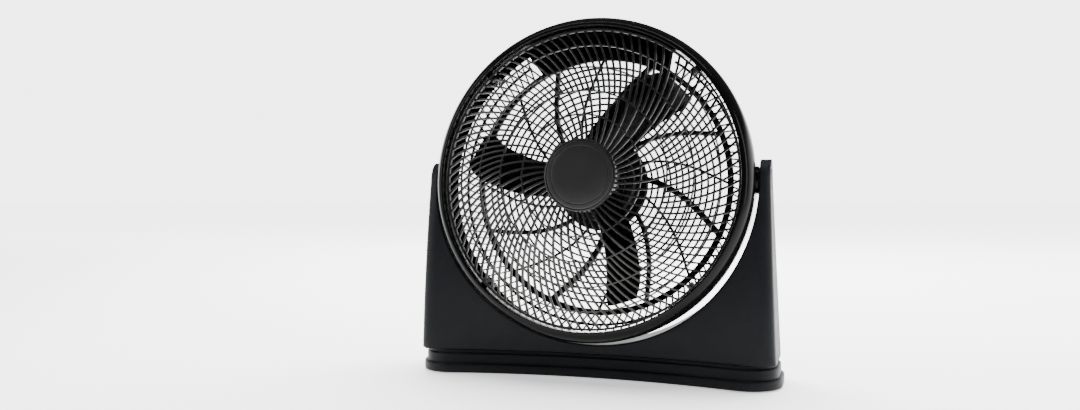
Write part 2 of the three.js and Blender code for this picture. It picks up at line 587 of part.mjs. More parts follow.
const head = new THREE.Group();
head.position.set(0, PIVOT.y, PIVOT.z);
head.rotation.x = -REST_TILT;
head.add(named('drum', drum(), finish.drum));
head.add(named('front_grille', frontGrille(), finish.grille));
head.add(named('badge', turned([
  [0, 81], [BADGE_R - 0.6, 81], [BADGE_R, 81.6], [BADGE_R, 83.6], [BADGE_R - 0.8, 84.2], [42, 84.9],
  [0, 86.4],
]), finish.grille));
head.add(named('rear_grille', rearGrille(), finish.drum));
head.add(named('carry_handle', carryHandle(), finish.drum));
quarterScrews(head, 'grille_screw', RIM_SCREW_R, LUG.back - GAP, 12);
quarterScrews(head, 'rear_grille_screw', REAR_SCREW_R, DRUM.rearD - REAR_RIM.depth - GAP, SCREW_LENGTH);
for (const [side, word] of [[-1, 'left'], [1, 'right']]) {
  const headX = TRUNNION.journalX + GAP;
  const screw = sideBar(side, PIVOT_SCREW.headR, headX, headX + 3)
    .add(sideBar(side, PIVOT_SCREW.r, 236, headX + 1));
  head.add(named(`pivot_screw_${word}`, screw, finish.steel));
}
head.add(named('motor_mount', motorMount(), finish.housing));
head.add(named('motor_front_housing', motorFrontHousing(), finish.housing));
head.add(named('motor_rear_housing', motorRearHousing(), finish.housing));
head.add(named('motor_rear_cover', motorRearCover(), finish.housing));
head.add(named('stator_core', ring(CORE.rotorR + 0.6, CORE.statorR, CORE.back, CORE.front), finish.core));
head.add(named('stator_winding_front', ring(33, 49, CORE.front + GAP, -7), finish.copper));
head.add(named('stator_winding_rear', ring(33, 49, -38, CORE.back - GAP), finish.copper));
head.add(named('bearing_front', ring(SHAFT_R + GAP, BEARING_R, -10, -3.6, 20), finish.bronze));
head.add(named('bearing_rear', ring(SHAFT_R + GAP, BEARING_R, -46, -40, 20), finish.bronze));
head.add(named('capacitor', box(-20, 20, 54, 64, -50, -30), finish.housing));
head.add(named('switch_body', box(-17, 17, 66, 81.4, -13, 13).add(barY(3, 80, 91.5)), finish.nylon));
head.add(named('cord_gland', cordGland(), finish.rubber));
quarterScrews(head, 'motor_screw', MOTOR_SCREW_R, MOUNT.back - GAP, 9);

const rotor = new THREE.Group();
const shaft = barY(SHAFT_R, -66, 50).subtract(barX(1.85, -10, 10, -PIN_D, 0, 16));
rotor.add(named('rotor_shaft', shaft, finish.steel));
rotor.add(named('rotor_core', ring(SHAFT_R + GAP, CORE.rotorR, CORE.back, CORE.front), finish.core));
rotor.add(named('fan_blades', fanBlades(), finish.blade));
rotor.add(named('drive_pin', barX(1.5, -9, 9, -PIN_D, 0, 12), finish.steel));
rotor.add(named('blade_nut', turned([
  [0, 69.5], [6, 69], [11, 64], [11, 58.4], [SHAFT_R + GAP, 58.4], [SHAFT_R + GAP, 66.4], [0, 66.4],
], 24), finish.blade));
head.add(rotor);
head.add(named('speed_knob', speedKnob(), finish.housing));

// ---- The fan, with its bounding box centred over the origin ---------------------------------
const fan = new THREE.Group();
fan.add(base, head);
const bounds = new THREE.Box3().setFromObject(fan, true);
fan.position.y = -(bounds.min.y + bounds.max.y) / 2;

export default fan;
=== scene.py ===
# %% [markdown]
# # A floor fan that pivots in a yoke base
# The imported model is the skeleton: it settles where every part is and how it moves. This script
# dresses it, part by part, with finer meshes and with procedural finishes. Everything is in metres.

# %% Load the frame
import json
import math

import bmesh
import bpy
from mathutils import Matrix, Vector


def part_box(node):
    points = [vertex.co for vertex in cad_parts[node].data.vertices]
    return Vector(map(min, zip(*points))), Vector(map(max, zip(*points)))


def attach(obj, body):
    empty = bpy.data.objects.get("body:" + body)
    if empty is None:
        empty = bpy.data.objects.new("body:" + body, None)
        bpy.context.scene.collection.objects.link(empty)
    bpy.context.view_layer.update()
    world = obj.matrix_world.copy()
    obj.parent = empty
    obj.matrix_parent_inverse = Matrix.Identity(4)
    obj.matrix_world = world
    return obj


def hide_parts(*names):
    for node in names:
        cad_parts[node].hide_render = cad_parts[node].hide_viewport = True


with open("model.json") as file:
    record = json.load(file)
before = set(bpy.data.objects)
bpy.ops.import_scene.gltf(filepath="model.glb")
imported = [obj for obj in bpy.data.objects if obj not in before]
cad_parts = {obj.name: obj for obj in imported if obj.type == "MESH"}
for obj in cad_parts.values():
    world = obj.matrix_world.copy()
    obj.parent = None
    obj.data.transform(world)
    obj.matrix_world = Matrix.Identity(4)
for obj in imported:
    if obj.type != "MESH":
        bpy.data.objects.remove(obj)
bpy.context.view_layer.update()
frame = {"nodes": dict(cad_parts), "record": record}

mm = 0.001
print("nodes in the frame:", len(frame["nodes"]))

# %% [markdown]
# The head leans back a little, so its parts are drawn in the head's own upright frame and then
# placed with one matrix. The frame's joints say where that is: the tilt hinge lies on the pivot,
# and the rotor's axis points to the back of the head.

# %% The head's own frame
joints = {joint["name"]: joint for joint in frame["record"]["behaviour"]["joints"]}
pivot = Vector(joints["head_tilt"]["pos_m"])
back = Vector(joints["rotor_spin"]["axis"]).normalized()
across = Vector((1, 0, 0))
up = across.cross(back)
HEAD = Matrix.Translation(pivot) @ Matrix((across, back, up)).transposed().to_4x4()
WORLD = Matrix.Identity(4)


def head_point(radius, angle, forward):
    """A place on the head: a radius, an angle seen from the front, and a distance forwards."""
    return Vector((radius * math.cos(angle), -forward, radius * math.sin(angle)))


print("pivot at", [round(v, 4) for v in pivot], "leaning", round(math.degrees(math.asin(-back.z)), 2))

# %% [markdown]
# ## Camera
# A low view from the fan's right, far enough away to keep the hoop round. It is set first, because
# what the camera sees decides how finely each piece has to be made.

# %% Camera
camera_data = bpy.data.cameras.new("camera")
camera_data.lens = 30.79
camera_data.sensor_width = 36
camera_data.clip_end = 60
camera = bpy.data.objects.new("camera", camera_data)
camera.location = (0.3602, pivot.y - 1.3449, 0.2888)
camera.rotation_euler = (math.radians(90 - 1.27), math.radians(0.24), math.radians(18.37))
bpy.context.collection.objects.link(camera)
bpy.context.scene.camera = camera
print("camera at", [round(v, 3) for v in camera.location])

# %% [markdown]
# ## Mesh helpers
# Every piece is a list of points and a list of faces. The place on the fan is baked into the points,
# so that the object itself stays at the origin, and a modifier's result is turned into a plain mesh.

# %% Mesh helpers
def add_mesh(name, points, faces, place=WORLD):
    """Makes an object at the origin whose mesh is already in its place."""
    mesh = bpy.data.meshes.new(name)
    mesh.from_pydata([tuple(p) for p in points], [], faces)
    mesh.transform(place)
    mesh.validate()
    piece = bpy.data.objects.new(name, mesh)
    bpy.context.collection.objects.link(piece)
    return piece


def soften(piece, crease_degrees=35):
    """Smooth shading, with real creases kept sharp."""
    piece.data.shade_smooth()
    piece.data.set_sharp_from_angle(angle=math.radians(crease_degrees))
    return piece


def bake_modifiers(piece):
    """Turns what the modifiers make into the piece's own plain mesh."""
    view = bpy.context.evaluated_depsgraph_get()
    mesh = bpy.data.meshes.new_from_object(piece.evaluated_get(view))
    piece.modifiers.clear()
    old = piece.data
    piece.data = mesh
    bpy.data.meshes.remove(old)
    mesh.name = piece.name
    return piece


def grid_faces(rings, size):
    """Quads between neighbouring rings of points, each ring closed on itself."""
    return [(r * size + k, r * size + (k + 1) % size, (r + 1) * size + (k + 1) % size, (r + 1) * size + k)
            for r in range(rings - 1) for k in range(size)]


def skin(points, rings, size):
    """A closed skin over rings of points, with a flat face at each end."""
    faces = grid_faces(rings, size)
    return points, faces + [tuple(range(size)), tuple(range(len(points) - size, len(points)))]


print("piece frames: head at", [round(v, 4) for v in HEAD.translation], "and the world")

# %% [markdown]
# ## Floor and light
# The floor is a pale sheet that reaches far behind the fan. A broad softbox overhead lights it, and
# is kept out of reflections, because a black moulding would mirror it as grey. Three narrow ones
# draw the thin bright lines along the lip and the edges.

# %% Floor and light
def add_floor(half=12):
    floor = add_mesh("floor", [(-half, -half, 0), (half, -half, 0), (half, half, 0), (-half, half, 0)],
                     [(0, 1, 2, 3)])
    return floor


def add_softbox(name, place, aim, width, height, power, mirrored=True):
    data = bpy.data.lights.new(name, "AREA")
    data.shape = "RECTANGLE"
    data.size = width
    data.size_y = height
    data.energy = power
    light = bpy.data.objects.new(name, data)
    light.location = place
    light.rotation_euler = (Vector(aim) - Vector(place)).to_track_quat("-Z", "Y").to_euler()
    light.visible_glossy = mirrored
    bpy.context.collection.objects.link(light)


floor = add_floor()
middle = (0, 0, 0.28)
add_softbox("top_softbox", (0.0, 0.9, 2.3), (0, 0.6, 0), 3.6, 2.0, 420, mirrored=False)
add_softbox("lip_strip", (0.0, -0.35, 2.1), middle, 2.6, 0.12, 16)
add_softbox("right_softbox", (1.7, -0.5, 0.75), middle, 0.25, 1.2, 9)
add_softbox("left_softbox", (-1.5, -0.9, 0.9), middle, 0.3, 1.2, 14)
print("lights:", len(bpy.data.lights))

# %% [markdown]
# The room is bright low down behind the fan, and dim in front of it and overhead, as in a studio with
# a white backdrop. The direction of a ray decides the brightness, so black plastic keeps its depth
# while the backdrop stays white.

# %% Room
def add_room(dim, bright, overhead=0.015):
    world = bpy.data.worlds.new("room")
    world.use_nodes = True
    nodes, links = world.node_tree.nodes, world.node_tree.links
    direction, split = nodes.new("ShaderNodeTexCoord"), nodes.new("ShaderNodeSeparateXYZ")
    product = nodes.new("ShaderNodeMath")
    product.operation = "MULTIPLY"
    links.new(direction.outputs["Generated"], split.inputs[0])
    ramps = {"Y": (-0.15, 0.45, dim, bright), "Z": (0.22, 0.42, 1.0, overhead)}
    for slot, (axis, values) in enumerate(ramps.items()):
        ramp = nodes.new("ShaderNodeMapRange")
        ramp.interpolation_type = "SMOOTHSTEP"
        for socket, value in zip(("From Min", "From Max", "To Min", "To Max"), values):
            ramp.inputs[socket].default_value = value
        links.new(split.outputs[axis], ramp.inputs["Value"])
        links.new(ramp.outputs[0], product.inputs[slot])
    links.new(product.outputs[0], nodes["Background"].inputs["Strength"])
    nodes["Background"].inputs["Color"].default_value = (1, 1, 1, 1)
    bpy.context.scene.world = world


add_room(0.03, 4.6)
print("room nodes:", len(bpy.context.scene.world.node_tree.nodes))

# %% [markdown]
# ## Finishes
# Each finish is a small graph of shader nodes. To keep the graphs readable, a socket is wrapped so
# that ordinary Python arithmetic adds the Math nodes, and one method adds every other node.

# %% Shader sockets as Python values
class Value:
    """A shader socket that takes part in Python expressions."""

    def __init__(self, finish, socket):
        self.finish = finish
        self.socket = socket

    def maths(self, operation, first, second):
        return self.finish.add("ShaderNodeMath", {"operation": operation}, {0: first, 1: second})

    def __add__(self, other):
        return self.maths("ADD", self, other)

    def __sub__(self, other):
        return self.maths("SUBTRACT", self, other)

    def __rsub__(self, other):
        return self.maths("SUBTRACT", other, self)

    def __mul__(self, other):
        return self.maths("MULTIPLY", self, other)

    __radd__ = __add__
    __rmul__ = __mul__


class Finish:
    """A material being built: it adds nodes and hands back their sockets as values."""

    def __init__(self, name):
        self.material = bpy.data.materials.new(name)
        self.material.use_nodes = True
        self.tree = self.material.node_tree
        self.surface = self.tree.nodes["Principled BSDF"]
        self.place = self.add("ShaderNodeTexCoord", out="Object")

    def add(self, kind, settings=None, inputs=None, out=0):
        node = self.tree.nodes.new(kind)
        for key, setting in (settings or {}).items():
            setattr(node, key, setting)
        for key, given in (inputs or {}).items():
            self.feed(node.inputs[key], given)
        return Value(self, node.outputs[out])

    def feed(self, socket, given):
        if isinstance(given, Value):
            self.tree.links.new(given.socket, socket)
        else:
            socket.default_value = given

    def noise(self, scale, detail=2.0, roughness=0.5):
        return self.add("ShaderNodeTexNoise", None, {
            "Vector": self.place, "Scale": scale, "Detail": detail, "Roughness": roughness})

    def spread(self, value, low, high):
        """Opens a value's middle range out to 0..1."""
        return self.add("ShaderNodeMapRange", None, {
            "Value": value, "From Min": low, "From Max": high})

    def mix(self, factor, first, second):
        """A colour between two colours."""
        return self.add("ShaderNodeMix", {"data_type": "RGBA"}, {
            "Factor": factor, 6: first, 7: second}, out=2)

    def bump(self, height, strength, distance):
        return self.add("ShaderNodeBump", None, {
            "Height": height, "Strength": strength, "Distance": distance}, out="Normal")

    def finish(self, **sockets):
        for name, given in sockets.items():
            title = name.replace("_", " ").title().replace("Ior", "IOR")
            self.feed(self.surface.inputs[title], given)
        return self.material


def grey(level, warm=0.0):
    """An almost neutral colour in linear light."""
    return (level * (1 + warm), level, level * (1 - warm), 1)


print("grey(0.5) is", grey(0.5))

# %% [markdown]
# Moulded plastic is never one flat colour. The pigment drifts a little, the tool's texture breaks
# up the gloss, and handling leaves faint dull and bright patches. One recipe gives them all, and
# each part sets its own colour, gloss and grain. The grille's plastic is lighter low down, within a
# set distance of the middle of the floor as seen from the front, and nearly black above that.

# %% Moulded plastics
def beyond(f, radius, fade=0.002):
    """0 within a radius of the line that runs back along the floor under the fan, 1 outside it."""
    away = f.place
    back_along = f.add("ShaderNodeVectorMath", {"operation": "DOT_PRODUCT"}, {0: away, 1: (0, -1, 0)}, out=1)
    square = f.add("ShaderNodeVectorMath", {"operation": "DOT_PRODUCT"}, {0: away, 1: away}, out=1)
    return f.spread(square - back_along * back_along, radius ** 2, (radius + fade) ** 2)


def moulded_plastic(name, dark, light, gloss, patchiness, grain_scale, grain_depth, shine=0.1,
                    light_within=None):
    f = Finish(name)
    drift = f.noise(9, detail=3)
    handling = f.spread(f.noise(38, detail=4, roughness=0.6), 0.35, 0.7)
    grain = f.noise(grain_scale, detail=1)
    pores = f.noise(grain_scale * 3, detail=0)
    colour = f.mix(f.spread(drift, 0.3, 0.7), dark, light)
    if light_within:
        colour = f.mix(beyond(f, light_within), colour, grey(0.006))
    roughness = gloss + patchiness * handling + 0.04 * grain
    height = grain + 0.4 * pores
    return f.finish(base_color=colour, roughness=roughness, normal=f.bump(height, 0.35, grain_depth),
                    specular_ior_level=shine)


BLACK_BODY = moulded_plastic("base_charcoal", (0.0042, 0.0047, 0.006, 1), (0.0062, 0.007, 0.0086, 1),
                             0.40, 0.08, 1400, 0.00006)
GLOSS_BLACK = moulded_plastic("drum_gloss_black", grey(0.0015), grey(0.003), 0.12, 0.05, 700, 0.00001)
GRILLE_GREY = moulded_plastic("grille_satin_grey", grey(0.034, 0.03), grey(0.05, 0.05), 0.34, 0.08, 900,
                              0.00003, shine=0.3, light_within=0.2175)
REAR_BLACK = moulded_plastic("guard_black", grey(0.0025), grey(0.005), 0.38, 0.1, 900, 0.00003)
BLADE_BLACK = moulded_plastic("blade_gloss_black", grey(0.002), grey(0.0035), 0.12, 0.06, 160, 0.00002,
                              shine=0.3)
HOUSING_BLACK = moulded_plastic("housing_grained_black", grey(0.004), grey(0.007), 0.45, 0.1, 1100, 0.00009)
BADGE_GREY = moulded_plastic("badge_satin", grey(0.009), grey(0.014), 0.3, 0.06, 1800, 0.00003, shine=0.4)
RUBBER = moulded_plastic("rubber_pad", grey(0.006), grey(0.012), 0.75, 0.12, 500, 0.0001)
NYLON = moulded_plastic("nylon_bush", grey(0.012), grey(0.018), 0.5, 0.08, 800, 0.00003)
print("plastics:", len(bpy.data.materials))

# %% [markdown]
# The screws, shaft and bearings are bare metal with fine streaks and a few dull stains. The motor's
# core is a stack of thin sheets and its winding is fine wire, so both are banded. The floor's glow
# rises with distance, so that it meets the backdrop without a line.

# %% Metals and the floor's finish
def turned_metal(name, dark, light, gloss):
    f = Finish(name)
    streaks = f.noise(420, detail=3)
    stain = f.spread(f.noise(60, detail=4), 0.35, 0.7)
    colour = f.mix(streaks, dark, light)
    return f.finish(base_color=colour, metallic=1.0, roughness=gloss + 0.15 * stain + 0.08 * streaks,
                    normal=f.bump(streaks, 0.2, 0.00002))


def banded_metal(name, dark, light, bands_per_metre, direction, gloss):
    """Stacked sheets or wound wire: fine bands along one direction."""
    f = Finish(name)
    bands = f.add("ShaderNodeTexWave", {"bands_direction": direction, "wave_profile": "SIN"}, {
        "Vector": f.place, "Scale": bands_per_metre, "Distortion": 0.6, "Detail": 1.0}, out="Fac")
    tarnish = f.noise(90, detail=3)
    colour = f.mix(bands * 0.7 + 0.3 * tarnish, dark, light)
    return f.finish(base_color=colour, metallic=1.0, roughness=gloss + 0.2 * tarnish,
                    normal=f.bump(bands, 0.6, 0.0002))


STEEL = turned_metal("zinc_steel", grey(0.32), grey(0.55), 0.25)
BRONZE = turned_metal("sintered_bronze", (0.26, 0.17, 0.08, 1), (0.42, 0.28, 0.14, 1), 0.4)
LAMINATIONS = banded_metal("laminated_steel", grey(0.1), grey(0.3), 320, "Y", 0.35)
WINDING = banded_metal("enamelled_wire", (0.22, 0.2, 0.08, 1), (0.5, 0.47, 0.25, 1), 260, "DIAGONAL", 0.3)


def pale_floor():
    f = Finish("pale_floor")
    cloud = f.noise(3, detail=2)
    colour = f.mix(cloud, grey(0.9), grey(0.93))
    depth = f.add("ShaderNodeSeparateXYZ", None, {"Vector": f.place}, out="Y")
    glow = f.add("ShaderNodeMapRange", {"interpolation_type": "SMOOTHSTEP"}, {
        "Value": depth, "From Min": -0.2, "From Max": 3.0, "To Min": 0.7, "To Max": 3.9})
    f.surface.inputs["Emission Strength"].default_value = 1
    return f.finish(base_color=colour, roughness=0.55 + 0.1 * cloud, emission_color=glow)


floor.data.materials.append(pale_floor())
print("finishes:", len(bpy.data.materials))

# %% [markdown]
# ## Shapes that are drawn by rule
# Most of a fan is turned about its axis, so the first tool is a lathe. Real mouldings have no
# perfectly sharp edge, so an outline is given to the lathe with its corners already rounded.

# %% Lathe and outlines
def rounded(outline, radius):
    """Replaces each corner of a closed outline with a short curve; points on the axis stay."""
    curve = []
    for i, corner in enumerate(outline):
        corner = Vector(corner)
        before, after = Vector(outline[i - 1]), Vector(outline[(i + 1) % len(outline)])
        if corner.x == 0:
            curve.append(corner)
            continue
        start = corner + (before - corner).normalized() * min(radius, 0.45 * (before - corner).length)
        end = corner + (after - corner).normalized() * min(radius, 0.45 * (after - corner).length)
        for t in (0, 0.25, 0.5, 0.75, 1):
            curve.append(start * (1 - t) ** 2 + corner * 2 * t * (1 - t) + end * t * t)
    return curve


def lathe(outline, sides=96, radius=0.6):
    """A closed outline of (radius, forward) pairs in millimetres, turned about the fan axis."""
    curve = rounded(outline, radius) if radius else [Vector(p) for p in outline]
    points, rows = [], []
    for r, forward in curve:
        turns = 1 if r == 0 else sides
        rows.append([len(points) + k for k in range(turns)])
        points += [head_point(r * mm, 2 * math.pi * k / sides, forward * mm) for k in range(turns)]
    faces = []
    for i, row in enumerate(rows):
        after = rows[(i + 1) % len(rows)]
        for k in range(sides):
            ring = [row[k % len(row)], row[(k + 1) % sides % len(row)],
                    after[(k + 1) % sides % len(after)], after[k % len(after)]]
            face = list(dict.fromkeys(ring))
            if len(face) > 2:
                faces.append(face)
    return points, faces


def bar(path, section):
    """A bar along a path of (radius, degrees, forward). Its section is (sideways, forward) pairs."""
    places = [head_point(r * mm, math.radians(a), f * mm) for r, a, f in path]
    forward = Vector((0, -1, 0))
    points = []
    for i, place in enumerate(places):
        along = places[min(i + 1, len(places) - 1)] - places[max(i - 1, 0)]
        sideways = forward.cross(along).normalized()
        points += [place + sideways * s * mm + forward * f * mm for s, f in section]
    return skin(points, len(places), len(section))


def merge(*shapes):
    points, faces = [], []
    for more_points, more_faces in shapes:
        start = len(points)
        points += more_points
        faces += [tuple(start + k for k in face) for face in more_faces]
    return points, faces


def shifted(shape, x=0.0, y=0.0, z=0.0):
    return [Vector(p) + Vector((x, y, z)) * mm for p in shape[0]], shape[1]


def turned_to(shape, direction):
    """The same shape with its axis laid along a direction instead of the fan axis."""
    turn = Vector((0, -1, 0)).rotation_difference(Vector(direction)).to_matrix()
    return [turn @ Vector(p) for p in shape[0]], shape[1]


def make(name, shape, material, body, node=None, place=HEAD, crease=35):
    """One finished piece: normals outwards, shaded, painted and riding on its body."""
    piece = add_mesh(name, *shape, place)
    return settle(piece, material, body, node, crease)


def settle(piece, material, body, node=None, crease=35):
    face_outwards(piece)
    soften(piece, crease)
    piece.data.materials.clear()
    piece.data.materials.append(material)
    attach(piece, body)
    for replaced in [node] if isinstance(node, str) else (node or []):
        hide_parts(replaced)
    return piece


def face_outwards(piece):
    grown = bmesh.new()
    grown.from_mesh(piece.data)
    bmesh.ops.recalc_face_normals(grown, faces=grown.faces)
    grown.to_mesh(piece.data)
    grown.free()


print("a lathe's square outline makes", len(lathe([(1, 0), (2, 0), (2, 1), (1, 1)])[1]), "faces")

# %% [markdown]
# A grille is one rib repeated all the way round. Geometry Nodes do the repeating: a row of points at
# the centre, each carrying an instance turned a little further than the last. The copies are then
# realised, so that what is left is a plain mesh.

# %% Copies round the fan axis
def spin_tree():
    tree = bpy.data.node_groups.new("spin_copies", "GeometryNodeTree")
    socket = tree.interface.new_socket
    socket("Geometry", in_out="INPUT", socket_type="NodeSocketGeometry")
    socket("Count", in_out="INPUT", socket_type="NodeSocketInt")
    socket("First Angle", in_out="INPUT", socket_type="NodeSocketFloat")
    socket("Sweep", in_out="INPUT", socket_type="NodeSocketFloat")
    socket("Material", in_out="INPUT", socket_type="NodeSocketMaterial")
    socket("Geometry", in_out="OUTPUT", socket_type="NodeSocketGeometry")
    new, link = tree.nodes.new, tree.links.new
    given, result = new("NodeGroupInput"), new("NodeGroupOutput")
    centres, copies = new("GeometryNodePoints"), new("GeometryNodeInstanceOnPoints")
    index, step = new("GeometryNodeInputIndex"), new("ShaderNodeMath")
    turn, angle, euler = new("ShaderNodeMath"), new("ShaderNodeMath"), new("ShaderNodeCombineXYZ")
    real, paint = new("GeometryNodeRealizeInstances"), new("GeometryNodeSetMaterial")
    # A turn about Y runs clockwise as seen from the front, so the sweep and the angle are given as minus.
    step.operation, turn.operation, angle.operation = "DIVIDE", "MULTIPLY", "SUBTRACT"
    link(given.outputs["Sweep"], step.inputs[0])
    link(given.outputs["Count"], step.inputs[1])
    link(index.outputs["Index"], turn.inputs[0])
    link(step.outputs[0], turn.inputs[1])
    link(turn.outputs[0], angle.inputs[0])
    link(given.outputs["First Angle"], angle.inputs[1])
    link(angle.outputs[0], euler.inputs["Y"])
    link(given.outputs["Count"], centres.inputs["Count"])
    link(centres.outputs[0], copies.inputs["Points"])
    link(given.outputs["Geometry"], copies.inputs["Instance"])
    link(euler.outputs[0], copies.inputs["Rotation"])
    link(copies.outputs[0], real.inputs[0])
    link(real.outputs[0], paint.inputs["Geometry"])
    link(given.outputs["Material"], paint.inputs["Material"])
    link(paint.outputs[0], result.inputs[0])
    return tree


SPIN = spin_tree()


def spun(name, shape, count, first_degrees, material, sweep=360):
    """Copies of a shape round the fan axis, as one plain mesh in the head's own frame."""
    piece = add_mesh(name, *shape)
    face_outwards(piece)
    modifier = piece.modifiers.new("copies", "NODES")
    modifier.node_group = SPIN
    values = {"Count": count, "First Angle": math.radians(first_degrees), "Sweep": math.radians(-sweep),
              "Material": material}
    for item in SPIN.interface.items_tree:
        if item.in_out == "INPUT" and item.name in values:
            modifier[item.identifier] = values[item.name]
    return bake_modifiers(piece)


def discard(piece):
    mesh = piece.data
    bpy.data.objects.remove(piece)
    bpy.data.meshes.remove(mesh)


def spun_shape(name, shape, count, first_degrees, material, sweep=360):
    """The same copies as points and faces, to be merged with other shapes."""
    piece = spun(name, shape, count, first_degrees, material, sweep)
    made = [v.co.copy() for v in piece.data.vertices], [tuple(p.vertices) for p in piece.data.polygons]
    discard(piece)
    return made


def cut_away(pieces, cutter, name):
    """Takes a cutter's volume out of each piece, and then removes the cutter."""
    face_outwards(cutter)
    for piece in pieces:
        cut = piece.modifiers.new(name, "BOOLEAN")
        cut.operation = "DIFFERENCE"
        cut.object = cutter
        bake_modifiers(piece)
    discard(cutter)


print("spin tree nodes:", len(SPIN.nodes))

# %% [markdown]
# ## The drum
# The drum is a shallow hoop. Seen from the front it is a convex bezel that rolls over to a lip, and
# the lip catches a thin bright line. Behind the lip the wall drops to a shadow gap round the grille.

# %% Drum
SIDES = [("left", -1), ("right", 1)]
FLAT_X, FLAT_HALF = 236, 26
REAR_SCREW_R = 228.5


def drum_shape():
    barrel = [
        (223.4, 56.2), (224.3, 57), (226.2, 57), (228.6, 56), (231.5, 53.6), (234.4, 50.2), (237, 45.6),
        (238.9, 40.6), (240, 34.6), (239.9, 24), (239.1, 10), (237.4, 0), (235.4, -8.4), (234.4, -10),
        (232.7, -10), (232.2, -9), (234.4, 0), (235.9, 12), (236.6, 30), (223.6, 31.6), (223.2, 34),
    ]
    points, faces = lathe(barrel, sides=256, radius=0)
    for point in points:
        if abs(point.z) < FLAT_HALF * mm and abs(point.y) < FLAT_HALF * mm:
            point.x = max(-FLAT_X * mm, min(FLAT_X * mm, point.x))
    return points, faces


def trunnion(side):
    boss = lathe([(11, -2), (20, -2), (20, 6), (11.4, 6), (11.4, 16), (0, 16), (0, -2)][::-1], 48, 0.5)
    return shifted(turned_to(boss, (side, 0, 0)), x=side * 236)


def side_pad(side):
    """The flat plate that carries a trunnion."""
    outline = rounded([(-26, -26), (26, -26), (26, 26), (-26, 26)], 7)
    levels = [(234.5, 0), (235.5, 0), (236, 0.5)]
    points = [Vector((side * x, p.x * (1 - inset / 26), p.y * (1 - inset / 26))) * mm
              for x, inset in levels for p in outline]
    return skin(points, len(levels), len(outline))


def lug(inner, outer, front, rear, half):
    """A block with slightly rounded edges at angle 0, to be repeated at the quarters."""
    outline = [(inner, -half), (outer, -half), (outer, half), (inner, half)]
    corners = rounded(outline, 1.2)
    levels = [(rear, 0.0), (front - 0.9, 0.0), (front, 0.9)]
    points = []
    middle_x = (inner + outer) / 2
    for forward, inset in levels:
        for corner in corners:
            x = middle_x + (corner.x - middle_x) * (1 - inset / (outer - inner))
            points.append(Vector((x, -forward, corner.y * (1 - inset / half))) * mm)
    return skin(points, len(levels), len(corners))


boss = shifted(lathe([(0, -10), (5, -10), (5, 5), (0, 5)], 24, 0.6), x=REAR_SCREW_R)
drum_parts = [drum_shape(), trunnion(-1), trunnion(1), side_pad(-1), side_pad(1),
              spun_shape("bosses", boss, 4, 45, GLOSS_BLACK),
              spun_shape("lugs", lug(212, 236, 34, 28, 5.5), 4, 45, GLOSS_BLACK)]
drum = make("drum_moulding", merge(*drum_parts), GLOSS_BLACK, "head", "drum", crease=28)
print("drum faces:", len(drum.data.polygons))

# %% [markdown]
# ## The front grille
# A dome of fine ribs. Fifty leave the hub, and at the second ring they become a hundred, so the
# spacing stays even all the way out. Every rib follows the same spiral: the angle grows in step with
# the radius.

# %% Front grille
SPIRAL = 0.178
HUB_EDGE, SPLIT_RING, RIM_EDGE = 52.0, 123.5, 219.6


def dome(radius):
    """How far forward the dome's face is at a radius."""
    return 84 - 40 * (max(0, radius - 49) / 170) ** 2


RIB_SECTION = [(-1.2, -3.2), (1.2, -3.2), (1.4, 2.3), (0.9, 3.0), (-0.9, 3.0), (-1.4, 2.3)]


def rib(start, end, steps, first=0.0):
    path = []
    for k in range(steps + 1):
        r = start + (end - start) * k / steps
        path.append((r, first + SPIRAL * (r - HUB_EDGE), dome(r) - 3.3))
    return bar(path, RIB_SECTION)


def fine_ring(radius, width=2.0, depth=4.5):
    face = dome(radius) - 0.5
    return lathe([(radius - width / 2, face - depth), (radius + width / 2, face - depth),
                  (radius + width / 2, face), (radius - width / 2, face)], 160, 0.5)


def hub_plate():
    return lathe([(0, 74), (51, 74), (52.6, 75.5), (52.6, 83.6), (50.4, 84.4), (49.9, 83.6), (49.8, 80.7),
                  (0, 80.7)], 160, 0.3)


def grille_rim():
    front = dome(RIM_EDGE) + 1.6
    return lathe([(218.4, front - 7), (221.6, front - 7), (221.6, front), (218.4, front - 0.4)], 256, 0.7)


tabs = spun_shape("tabs", lug(213, 220.6, 44.5, 34.4, 4.3), 4, 45, GRILLE_GREY)
inner_ribs = spun_shape("inner_ribs", rib(HUB_EDGE, SPLIT_RING, 8), 50, 1.5, GRILLE_GREY)
outer_ribs = spun_shape("outer_ribs", rib(SPLIT_RING - 0.5, RIM_EDGE, 12), 100, 1.5, GRILLE_GREY)
front_grille = make(
    "front_guard",
    merge(hub_plate(), grille_rim(), *[fine_ring(r) for r in (88, SPLIT_RING, 159.5, 194.5)], inner_ribs,
          outer_ribs, tabs),
    GRILLE_GREY, "head", "front_grille", crease=50)
print("front guard faces:", len(front_grille.data.polygons))

# %% [markdown]
# The badge is a separate disc pressed into the hub: a raised band round a very slightly domed face,
# with a fine groove between the two. It is left plain.

# %% Badge
badge = make(
    "badge_disc",
    lathe([(0, 81), (48.9, 81), (49.3, 81.5), (49.3, 83.6), (48.6, 84.3), (47.2, 84.6), (42.9, 85.1),
           (42.5, 85), (42.3, 84.3), (41.8, 84.3), (41.6, 84.9), (41, 85.1), (34, 85.7), (24, 86.2),
           (12, 86.45), (0, 86.5)], 160, 0.12),
    BADGE_GREY, "head", "badge", crease=40)
print("badge faces:", len(badge.data.polygons))

# %% [markdown]
# ## Behind the blades
# The rear guard has fine concentric rings on four wide and four narrower arms, with eight slim
# struts between them. Outside its
# thick ring the guard slopes forward like the side of a basket: short bars slant the other way up to
# the drum's rear edge, tied halfway by one more ring.

# %% Rear guard
def rear_face(radius):
    """How far forward the shallow rear cone is at a radius."""
    return -49 + 7 * min(1, max(0, (radius - 72) / 121))


